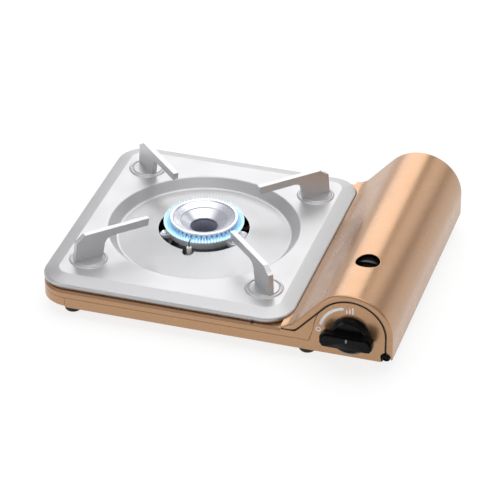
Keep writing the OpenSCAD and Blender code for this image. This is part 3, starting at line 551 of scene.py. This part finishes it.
pan_low, pan_high = node_box("drip_pan")
PAN = (pan_low.x, pan_high.x, pan_low.y, pan_high.y)
PAN_CORNER = 27.0
PAN_FLAT_Z = 36.5
PAN_SHEET = 0.9
PAN_STEPS = 720
PAN_ANGLES = [360 * k / PAN_STEPS for k in range(PAN_STEPS)]  # degrees
HOLE_R = 42.6
CONE_R = 53.0  # from here outwards the dish's rings are true circles
NOTCH = (43.6, 5.4, -92.0)  # distance from the burner axis, radius, direction
HOLE_EDGE = ((0, -0.9), (0, -0.35), (0.004, -0.12), (0.015, 0))  # share of the way to CONE_R, rise
HOLE_RINGS = (0.06, 0.13, 0.22, 0.33, 0.46, 0.6, 0.75, 0.9)  # further shares, with no rise
PAN_DISH = (  # radius, height, fillet
    (CONE_R, 33.0, 0), (81.8, 26.85, 3.4), (89.7, PAN_FLAT_Z, 2.4), (95, PAN_FLAT_Z, 0))
PAN_BORDER = (  # inset from the outline, height, fillet
    (18, PAN_FLAT_Z, 0), (14, PAN_FLAT_Z, 5), (0, 32.8, 3.6), (0, 29.1, 0))
SUPPORT_ANGLES = (225, 315, 45, 135)
PAD_DISTANCE = 119.0
PAD_TOP_Z = 37.7
PAD_TOP = (  # radius, height, fillet
    (0.01, PAD_TOP_Z, 0), (6, PAD_TOP_Z, 0), (13.4, PAD_TOP_Z, 0.5), (14.3, 36.75, 0.4),
    (14.9, 36.7, 0))
BEAD_R = 16.2  # from the pad's middle to the middle of the bead round it
BEAD_RISE = 1.2
BEAD_ANGLES = range(165, 10, -15)
PAD_SKIRT = ((17.7, 0.05), (18.6, -0.1))  # radius, height over the pan
FAR = 1e9


def outline_reach(direction, inset):
    """Distance from the burner axis to the pan's outline, drawn in by inset."""
    x0, x1, y0, y1 = PAN
    corner = PAN_CORNER - inset
    low = Vector((x0 + inset - BURNER[0], y0 + inset - BURNER[1]))
    high = Vector((x1 - inset - BURNER[0], y1 - inset - BURNER[1]))
    reach = min(
        (high.x if direction.x > 0 else low.x) / direction.x if direction.x else FAR,
        (high.y if direction.y > 0 else low.y) / direction.y if direction.y else FAR)
    centre = Vector((
        high.x - corner if direction.x > 0 else low.x + corner,
        high.y - corner if direction.y > 0 else low.y + corner))
    spot = direction * reach
    past_x = (spot.x - centre.x) * (1 if direction.x > 0 else -1)
    past_y = (spot.y - centre.y) * (1 if direction.y > 0 else -1)
    if past_x > 0 and past_y > 0:
        along = centre.dot(direction)
        reach = along + math.sqrt(max(0, along ** 2 - centre.length_squared + corner ** 2))
    return reach


def hole_reach(angle):
    """Radius of the burner hole with the electrode's notch."""
    distance, radius, notch_angle = NOTCH
    off = math.radians(angle - notch_angle)
    room = radius ** 2 - (distance * math.sin(off)) ** 2
    if room < 0 or math.cos(off) < 0:
        return HOLE_R
    return max(HOLE_R, distance * math.cos(off) + math.sqrt(room))


def make_pan(material):
    """The pan's skin: from the burner hole over the dish and its flat to the drawn-down edge."""
    dish = rounded(PAN_DISH)
    border = rounded(PAN_BORDER, steps=9)
    hole = [*HOLE_EDGE, *((share, 0) for share in HOLE_RINGS)]
    fall = (dish[0].y - dish[1].y) / (dish[1].x - dish[0].x)
    points = []
    for share, rise in hole:
        for angle in PAN_ANGLES:
            r = hole_reach(angle) * (1 - share) + CONE_R * share
            z = dish[0].y + (CONE_R - r) * fall + rise
            points.append(about_burner(r, math.radians(angle), z))
    for r, z in dish:
        points += [about_burner(r, math.radians(angle), z) for angle in PAN_ANGLES]
    for inset, z in border:
        for angle in PAN_ANGLES:
            a = math.radians(angle)
            direction = Vector((math.cos(a), math.sin(a)))
            spot = direction * outline_reach(direction, inset)
            points.append((BURNER[0] + spot.x, BURNER[1] + spot.y, z))
    faces = grid_faces(len(hole) + len(dish) + len(border), PAN_STEPS, True)
    pan = mesh_object("pan_skin", points, faces, material, sharp=60)
    solid_sheet(pan, PAN_SHEET)
    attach(pan, "pan")
    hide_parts("drip_pan")


def make_pads(material):
    """Raised pads under the pan supports, each with a bead round it."""
    bead = []
    for angle in BEAD_ANGLES:
        a = math.radians(angle)
        bead.append((BEAD_R + BEAD_RISE * math.cos(a), PAN_FLAT_Z + BEAD_RISE * math.sin(a)))
    path = [*rounded(PAD_TOP, steps=4), *bead]
    path += [(r, PAN_FLAT_Z + rise) for r, rise in PAD_SKIRT]
    path = [Vector(p) for p in path]
    points = []
    faces = []
    for angle in SUPPORT_ANGLES:
        centre = about_burner(PAD_DISTANCE, math.radians(angle), 0)
        more, quads = lathe(path, centre, steps=72)
        faces += shifted(quads, len(points))
        points += more
    pads = mesh_object("pan_pads", points, faces, material, sharp=60)
    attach(pads, "pan")


# ---- canister cover ----

rims_low, rims_high = node_box("cover_rims")
COVER_R = 39.0
COVER_X = rims_high.x - COVER_R
COVER_Z = rims_high.z - COVER_R
COVER_LOW_Z = rims_low.z
COVER_Y = (rims_low.y, rims_high.y)
COVER_SHEET = 0.85
FLANK = math.radians(48)
FOOT_STEPS, ARCH_STEPS, HOLLOW_STEPS = 6, 96, 32
LIP_R, LIP_Z, LIP_LOW_Z = 16.0, 30.8, 28.6
LIP_CURVE_Z = LIP_Z + LIP_R
LIP_CURVE_X = COVER_X - (
    COVER_R + LIP_R - (LIP_CURVE_Z - COVER_Z) * math.cos(FLANK)) / math.sin(FLANK)
LIP_TIP_X = LIP_CURVE_X - 0.5
LIP_EASE = 1.6  # how softly the rim's lower edge levels out along the lip
TIP_DROP = 1.0  # depth of the lip's edge beside the pan
TIP_STEP = 0.02  # its least depth anywhere
TIP_NEAR = 0.01  # a lip that ends this close to its tip is past the pan's corner
SKIN_INSET = 1  # rows drawn in by less follow the pan's corners
PAN_GAP = 0.6
END_EDGE = 2.2  # radius of the rounded edge between the arch and the end
RIM_W = 5.7
RIM_CURL = 0.9  # radius of the rim's turned-in edge
RIM_RETURN = 1.15  # how far the turned-in edge runs back
RIM_RINGS = (4.4, 3.8, 3.2, 2.7)  # insets across the rim's flat
LEAD_IN = (END_EDGE + 0.6, 4.5, 7.0, 9.0, 11.4, 14, 18, 22, 26, 30)  # rows behind each end
ROW_STEP = 4.0
WINDOW = (128.0, -61.0, 11.2)  # x, y, radius
WINDOW_MARGIN = 3  # the grid is cut this far outside the hole
WINDOW_RINGS = (0.5, 0.15, 0.0)  # shares of the way from the hole's edge to the cut grid
# painted shade: section of the black strips behind the gaps at the cover's ends
GAP_SHADE_SECTION = (  # depth behind the cover's end, inset, height at the lip
    (1.05, 5.8, 28.5), (1.05, 7.2, 27.6), (4.2, 7.2, 27.6), (4.2, 5.8, 28.5))
rod_low, rod_high = node_box("hinge_rod")
HINGE_X = (rod_low.x + rod_high.x) / 2
HINGE_Z = (rod_low.z + rod_high.z) / 2
BUSH_FREE_R = 4.9  # the end rims keep this far from the hinge's axis


def lip_end(y):
    """Where the cover's lip ends beside the pan, at a place along the stove."""
    x1, y0, y1 = PAN[1:]
    corner = PAN_CORNER + PAN_GAP
    past = max(y0 - PAN_GAP + corner - y, y - (y1 + PAN_GAP - corner), 0)
    if past >= corner:
        return LIP_TIP_X
    return max(LIP_TIP_X, x1 + PAN_GAP - corner + math.sqrt(corner ** 2 - past ** 2))


def past_corner(y):
    return lip_end(y) <= LIP_TIP_X + TIP_NEAR


def cover_row(y, inset, low_z, lip_low_z=LIP_LOW_Z):
    """The cover's section from its right foot over the back to the lip, drawn in by inset."""
    r = COVER_R - inset
    hollow = LIP_R + inset
    row = [(COVER_X + r, low_z + (COVER_Z - low_z) * k / FOOT_STEPS) for k in range(FOOT_STEPS)]
    span = math.pi / 2 + FLANK
    for k in range(ARCH_STEPS + 1):
        a = span * k / ARCH_STEPS
        row.append((COVER_X + r * math.cos(a), COVER_Z + r * math.sin(a)))
    end_x = lip_end(y) if inset < SKIN_INSET else LIP_TIP_X + inset / 2
    sweep_end = math.asin(max(-1, min(1, (end_x - LIP_CURVE_X) / hollow)))
    for k in range(HOLLOW_STEPS + 1):
        a = FLANK + (sweep_end - FLANK) * k / HOLLOW_STEPS
        row.append((LIP_CURVE_X + hollow * math.sin(a), LIP_CURVE_Z - hollow * math.cos(a)))
    x, z = row[-1]
    row.append((x, lip_low_z if past_corner(y) else z - TIP_DROP))
    ease = LIP_EASE * min(1, inset / RIM_RINGS[-1])
    lift = [max(z, (z + lip_low_z + math.hypot(z - lip_low_z, ease)) / 2) for x, z in row]
    lift[-1] = min(lift[-1], lift[-2] - TIP_STEP)
    return [(x, y, high if x < COVER_X else z) for (x, z), high in zip(row, lift)]


def quarter(radius, steps=6):
    """Rises of a rounded edge: pairs that go from (radius, 0) to (0, radius)."""
    angles = [math.pi / 2 * k / steps for k in range(steps + 1)]
    return [(radius * (1 - math.sin(a)), radius * (1 - math.cos(a))) for a in angles]


def rim_foot(inset):
    """How low the end rim reaches at a distance from the cover's side: it clears the bush."""
    off = COVER_X + COVER_R - inset - HINGE_X
    if off >= BUSH_FREE_R:
        return COVER_LOW_Z
    return HINGE_Z + math.sqrt(BUSH_FREE_R ** 2 - off ** 2)


def cover_places():
    """Place along the stove and inset of each row of the cover's skin, from front to rear."""
    front, rear = COVER_Y
    ends = [(RIM_RETURN, RIM_W)]
    ends += [(depth, RIM_W - back) for depth, back in quarter(RIM_CURL)]
    ends += [(0.0, inset) for inset in RIM_RINGS]
    ends += [(depth, inset) for inset, depth in quarter(END_EDGE)]
    places = [(front + depth, inset) for depth, inset in ends]
    places += [(front + depth, 0.0) for depth in LEAD_IN]
    count = round((rear - front - 2 * LEAD_IN[-1]) / ROW_STEP)
    for k in range(1, count):
        between = (rear - front - 2 * LEAD_IN[-1]) * k / count
        places.append((front + LEAD_IN[-1] + between, 0.0))
    places += [(rear - depth, 0.0) for depth in reversed(LEAD_IN)]
    places += [(rear - depth, inset) for depth, inset in reversed(ends)]
    return places


def cut_window(points, places, columns):
    """Faces of the cover's rows without those at the sight hole, and rings in to its edge."""
    wx, wy, wr = WINDOW
    near = wr + WINDOW_MARGIN
    rows_hit = [i for i, (y, inset) in enumerate(places) if inset == 0 and abs(y - wy) < near]
    first = points[rows_hit[0] * columns:(rows_hit[0] + 1) * columns]
    columns_hit = [j for j, (x, y, z) in enumerate(first) if abs(x - wx) < near and z > COVER_Z]
    r0, r1, c0, c1 = rows_hit[0], rows_hit[-1], columns_hit[0], columns_hit[-1]
    faces = []
    for quad in grid_faces(len(places), columns, False):
        i, j = divmod(min(quad), columns)
        if not (r0 <= i < r1 and c0 <= j < c1):
            faces.append(quad)
    loop = [r0 * columns + j for j in range(c0, c1)]
    loop += [i * columns + c1 for i in range(r0, r1)]
    loop += [r1 * columns + j for j in range(c1, c0, -1)]
    loop += [i * columns + c0 for i in range(r1, r0, -1)]
    rings = [loop]
    for share in WINDOW_RINGS:
        ring = []
        for v in loop:
            away = Vector((points[v][0] - wx, points[v][1] - wy))
            spot = away.normalized() * (wr + share * (away.length - wr))
            x = wx + spot.x
            ring.append(len(points))
            points.append((x, wy + spot.y, COVER_Z + math.sqrt(COVER_R ** 2 - (x - COVER_X) ** 2)))
        rings.append(ring)
    for a, b in zip(rings, rings[1:]):
        for k in range(len(loop)):
            n = (k + 1) % len(loop)
            faces.append((a[k], a[n], b[n], b[k]))
    return faces


def make_cover(material):
    """Half-round cover with a concave lip, turned-in end rims and a round sight hole."""
    places = cover_places()
    points = []
    for y, inset in places:
        points += cover_row(y, inset, rim_foot(inset))
    faces = cut_window(points, places, len(points) // len(places))
    cover = mesh_object("cover_skin", points, faces, material, sharp=50)
    solid_sheet(cover, COVER_SHEET)
    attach(cover, "cover")
    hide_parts("canister_cover", "cover_rims")


def make_gap_shade_strips(material):
    """Painted shade: black strips put behind the gaps between the cover's end rims and the end panels,
    so the gaps show dark.
    """
    points = []
    faces = []
    for end_y, way in zip(COVER_Y, (1, -1)):
        rows = [cover_row(end_y + way * depth, inset, rim_foot(inset), low)
                for depth, inset, low in GAP_SHADE_SECTION]
        columns = len(rows[0])
        starts = [len(points) + i * columns for i in range(len(rows))]
        for row in rows:
            points += row
        for a, b in zip(starts, starts[1:] + starts[:1]):
            faces += [(a + j, a + j + 1, b + j + 1, b + j) for j in range(columns - 1)]
        faces += [tuple(start + j for start in starts) for j in (0, columns - 1)]
    shade_strips = mesh_object("gap_shade_strips", points, faces, material, sharp=40)
    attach(shade_strips, "root")


# ---- hinge bushes and dial ----

BUSH_R = 4.15
BUSH_LENGTH = 10.0
BUSH_SECTION = (  # radius, depth behind the bush's outer face, fillet
    (0, 0.5, 0), (1.2, 0.55, 0.4), (1.75, 1.2, 0.15), (2.1, 1.2, 0.15), (2.5, 0.02, 0.3),
    (3.2, 0.02, 0.4), (BUSH_R, 0.9, 0.9), (BUSH_R, BUSH_LENGTH, 0.3), (0, BUSH_LENGTH, 0))
AXIS_R = 0.001  # stands in for a radius of 0
LUG_DEPTH = 1.05
LUG_FROM_AXIS = 3.1
LUG_HEIGHT = 5.0
BOX_FACES = ((0, 1, 3, 2), (4, 6, 7, 5), (0, 4, 5, 1), (2, 3, 7, 6), (0, 2, 6, 4), (1, 5, 7, 3))


def make_bushes(material):
    """Black hinge bushes: round shoulder, groove and a domed pin end, with a lug to the tray."""
    low, high = node_box("hinge_bushes")
    section = rounded(BUSH_SECTION, steps=5)
    points = []
    faces = []
    for face_y, way in ((low.y, 1), (high.y, -1)):
        path = [(max(radius, AXIS_R), face_y + way * depth) for radius, depth in section]
        more, quads = lathe(path, (HINGE_X, 0, HINGE_Z), steps=48, axis="Y")
        faces += shifted(quads, len(points))
        points += more
        faces += shifted(BOX_FACES, len(points))
        ends = sorted((face_y + way * LUG_DEPTH, face_y + way * BUSH_LENGTH))
        for x in (low.x, HINGE_X - LUG_FROM_AXIS):
            points += [(x, y, z) for y in ends for z in (low.z, low.z + LUG_HEIGHT)]
    bushes = mesh_object("hinge_ends", points, faces, material, sharp=40)
    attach(bushes, "root")
    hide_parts("hinge_bushes")


PANEL_Y = node_box("front_panel")[0].y
INK = 0.06  # thickness of the print
ARC_CENTRE = (127.8, 34.5)  # x and z on the panel, as the next two
OFF_CENTRE = (100.2, 34.6)
BARS_X, BARS_Z = 126.0, 56.6
BARS = 3
BAR_PITCH = 2.7
BAR_HEIGHT, BAR_GROWTH = 2.4, 1.5
ARC_WIDTH, BAR_WIDTH, OFF_WIDTH = 2.7, 1.3, 1.1
STROKE_END_STEPS = 8


def flat_strip(path, width):
    """Outline of a printed stroke with round ends, along a path of (x, z)."""
    outline_a = []
    outline_b = []
    last = len(path) - 1
    for i, (x, z) in enumerate(path):
        on = Vector(path[min(i + 1, last)]) - Vector(path[max(i - 1, 0)])
        side = Vector((-on.y, on.x)).normalized() * width / 2
        outline_a.append((x + side.x, z + side.y))
        outline_b.append((x - side.x, z - side.y))
    caps = []
    for end, start_side in ((last, outline_a[last]), (0, outline_b[0])):
        centre = Vector(path[end])
        arm = Vector(start_side) - centre
        caps.append([tuple(centre + Matrix.Rotation(-math.pi * k / STROKE_END_STEPS, 2) @ arm)
                     for k in range(1, STROKE_END_STEPS)])
    return outline_a + caps[0] + outline_b[::-1] + caps[1]


def arc(centre, radius, first, last, steps):
    """A path of (x, z) round a centre, between two angles in degrees."""
    angles = [math.radians(first + (last - first) * k / steps) for k in range(steps + 1)]
    return [(centre[0] + radius * math.cos(a), centre[1] + radius * math.sin(a)) for a in angles]


def make_dial(material):
    """White print on the knob panel: the heat arc, and plain marks at its two ends."""
    strokes = [(arc(ARC_CENTRE, radius=26.2, first=166, last=103, steps=30), ARC_WIDTH)]
    for k in range(BARS):
        x = BARS_X + BAR_PITCH * k
        strokes.append(([(x, BARS_Z), (x, BARS_Z + BAR_HEIGHT + BAR_GROWTH * k)], BAR_WIDTH))
    strokes.append((arc(OFF_CENTRE, radius=2.0, first=20, last=340, steps=18), OFF_WIDTH))
    points = []
    faces = []
    for path, width in strokes:
        outline = flat_strip(path, width)
        start = len(points)
        count = len(outline)
        for y in (PANEL_Y - INK, PANEL_Y + INK):
            points += [(x, y, z) for x, z in outline]
        faces.append(tuple(start + k for k in range(count)))
        faces.append(tuple(start + count + k for k in reversed(range(count))))
        faces += [(start + k, start + count + k, start + count + (k + 1) % count,
                   start + (k + 1) % count) for k in range(count)]
    dial = mesh_object("dial_print", points, faces, material, sharp=30)
    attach(dial, "root")


# ---- burner and flames ----

PORTS = 40
PORT_STEPS = 12  # steps round the cap to each port
PORT_CUT = range(4, 9)  # which of them are cut away
PORT_DEPTH = 2.6
PORT_HEIGHTS = (41.75, 41.85, 44.75, 44.85)  # the path's rows 1 to 4
PORT_ROWS = (2, 3)  # rows that lie deeper in a port
CAP_R = 32.0
CAP_Z = 47.5
SKIRT_R = CAP_R - 1.4
CAP_FOOT = (SKIRT_R, 41.05, 0)
CAP_BOWL = (  # radius, height, fillet
    (SKIRT_R, 45.2, 0.4), (CAP_R, 45.9, 0.7), (CAP_R, CAP_Z, 1.1),
    (29.4, CAP_Z, 1.0), (28.2, 46.3, 1.6), (22.0, 43.95, 0.25), (21.7, 43.1, 0.2),
    (13.3, 37.7, 0.5), (12.55, 36.9, 0.3), (12.55, 35.7, 0))
FLAME_SPINE = (  # distance from the burner's axis, height, half width
    (30.2, 43.4, 0.4), (31.6, 43.0, 0.55), (33.2, 42.3, 0.75), (34.8, 41.4, 0.95),
    (36.0, 40.9, 1.1), (36.9, 41.3, 1.05), (37.3, 42.5, 0.85), (37.3, 44.1, 0.6),
    (36.9, 46.3, 0.12))
FLAME_LOW = 4  # the spine's lowest point, from which a tongue stretches
FLAME_SIDES = 10
FLAME_FLATNESS = 0.5
FLAME_WAVES = ((0.16, 2.4), (0.10, 5.1))  # how much longer, and radians from tongue to tongue
FLAME_TINTS = ((0, (0.03, 0.12, 0.55)), (0.62, (0.26, 0.66, 1.0)), (1, (0.66, 0.90, 1.0)))
FLAME_REACH = (0.031, 0.0386)  # metres from the axis, over which the tint turns pale
FLAME_RISE = (0.0435, 0.0495)  # metres up, over which the tongue fades
FLAME_CLEAR = (0.22, 0.93)  # how clear the tongue is below and above that
FLAME_STRENGTH = 1.25
FLICKER_SCALE = 420
FLICKER_SHARE = 0.3
TONGUE_SHARE = -0.26  # the tongues are paler along their middles


def make_burner_cap(material):
    """Dished crown: round rim, stepped bowl, centre hole, and a skirt cut by the flame ports."""
    foot, *bowl = rounded([CAP_FOOT, *CAP_BOWL], steps=5)
    path = [foot, *(Vector((SKIRT_R, z)) for z in PORT_HEIGHTS), *bowl]
    steps = PORTS * PORT_STEPS
    points = []
    for number, (radius, z) in enumerate(path):
        for k in range(steps):
            in_port = k % PORT_STEPS in PORT_CUT and number in PORT_ROWS
            r = radius - PORT_DEPTH if in_port else radius
            points.append(about_burner(r, 2 * math.pi * k / steps, z))
    faces = grid_faces(len(path), steps, True)
    cap = mesh_object("burner_crown", points, faces, material, sharp=32)
    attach(cap, "root")
    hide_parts("burner_cap")


def flame_glow():
    """Gas flame: deep blue at the port, pale cyan along the tongue, fading at the tip."""
    material = empty_material("flame")
    tree = material.node_tree
    place = object_place(tree)
    axes = add_node(tree, "SeparateXYZ", {0: place}).outputs
    outwards = map_range(tree, flat_distance(tree, place), FLAME_REACH)
    flicker = add_node(tree, "TexNoise", {"Vector": place, "Scale": FLICKER_SCALE}).outputs["Fac"]
    tint = maths(tree, "MULTIPLY_ADD", flicker, FLICKER_SHARE, outwards)
    around = maths(tree, "MULTIPLY", maths(tree, "ARCTAN2", axes["Y"], axes["X"]), 2 * PORTS)
    tint = maths(tree, "MULTIPLY_ADD", maths(tree, "COSINE", around), TONGUE_SHARE, tint)
    glow = add_node(tree, "Emission", {
        "Color": color_ramp(tree, tint, FLAME_TINTS), "Strength": FLAME_STRENGTH})
    clear = add_node(tree, "BsdfTransparent").outputs[0]
    fade = map_range(tree, axes["Z"], FLAME_RISE, FLAME_CLEAR)
    surface = mix_shaders(tree, fade, glow.outputs[0], clear)
    add_node(tree, "OutputMaterial", {"Surface": surface})
    return material


def make_flames():
    """Two tongues at each port, blown outwards and curling up."""
    low_z = FLAME_SPINE[FLAME_LOW][1]
    last = len(FLAME_SPINE) - 1
    points = []
    faces = []
    for port in range(2 * PORTS):
        a = math.pi * (port + 0.5) / PORTS
        out = Vector((math.cos(a), math.sin(a), 0))
        side = Vector((-math.sin(a), math.cos(a), 0))
        start = len(points)
        longer = sum((share * math.sin(port * turn) for share, turn in FLAME_WAVES), 1)
        for n, (r, z, width) in enumerate(FLAME_SPINE):
            lift = low_z + (z - low_z) * (longer if n >= FLAME_LOW else 1)
            before = Vector(FLAME_SPINE[max(n - 1, 0)][:2])
            after = Vector(FLAME_SPINE[min(n + 1, last)][:2])
            along = (after - before).normalized()
            across = out * -along.y + Vector((0, 0, along.x))
            for k in range(FLAME_SIDES):
                t = 2 * math.pi * k / FLAME_SIDES
                spot = out * r + Vector((0, 0, lift))
                spot += side * (width * math.cos(t)) + across * (FLAME_FLATNESS * width * math.sin(t))
                points.append(spot)
        faces += shifted(grid_faces(len(FLAME_SPINE), FLAME_SIDES, True), start)
        faces.append(tuple(start + last * FLAME_SIDES + k for k in range(FLAME_SIDES)))
    flames = mesh_object("flames", points, faces, flame_glow(), sharp=180)
    flames.location = (BURNER[0] * MM, BURNER[1] * MM, 0)
    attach(flames, "root")


# ---- rounded edges of the CAD nodes ----

EDGE_WIDTHS = {
    "front_panel": 0.42, "rear_panel": 0.25, "rubber_feet": 0.5, "control_knob": 0.7,
    "burner_body": 0.5, **{f"pan_support_{n}": 0.45 for n in range(1, 5)},
}
WELD_GAP = 0.004
FLAT_ANGLE = math.radians(0.5)  # facets that differ by less are one flat face
ROUND_ANGLE = math.radians(28)  # edges sharper than this are rounded
ROUND_SEGMENTS = 2


def soften(node, width):
    """Rounds a CAD node's sharp edges, after the tessellation of its flat faces is cleared."""
    weld = node.modifiers.new("weld", "WELD")
    weld.merge_threshold = WELD_GAP * MM
    flat = node.modifiers.new("flat", "DECIMATE")
    flat.decimate_type = "DISSOLVE"
    flat.angle_limit = FLAT_ANGLE
    bevel = node.modifiers.new("bevel", "BEVEL")
    bevel.width = width * MM
    bevel.segments = ROUND_SEGMENTS
    bevel.limit_method = "ANGLE"
    bevel.angle_limit = ROUND_ANGLE
    bevel.harden_normals = True
    bevel.use_clamp_overlap = True


# ---- the scene ----

make_camera()
make_floor()
make_world()
make_lights()
bpy.context.scene.view_settings.view_transform = "Standard"
materials = make_materials()
dress_cad(materials)
make_pan(materials["silver_enamel"])
make_pads(materials["silver_enamel"])
make_cover(materials["gold_paint"])
make_gap_shade_strips(materials["black_plastic"])
make_bushes(materials["black_gloss"])
make_dial(materials["dial_ink"])
make_burner_cap(materials["polished_aluminium"])
make_flames()
for name, width in EDGE_WIDTHS.items():
    soften(nodes[name], width)
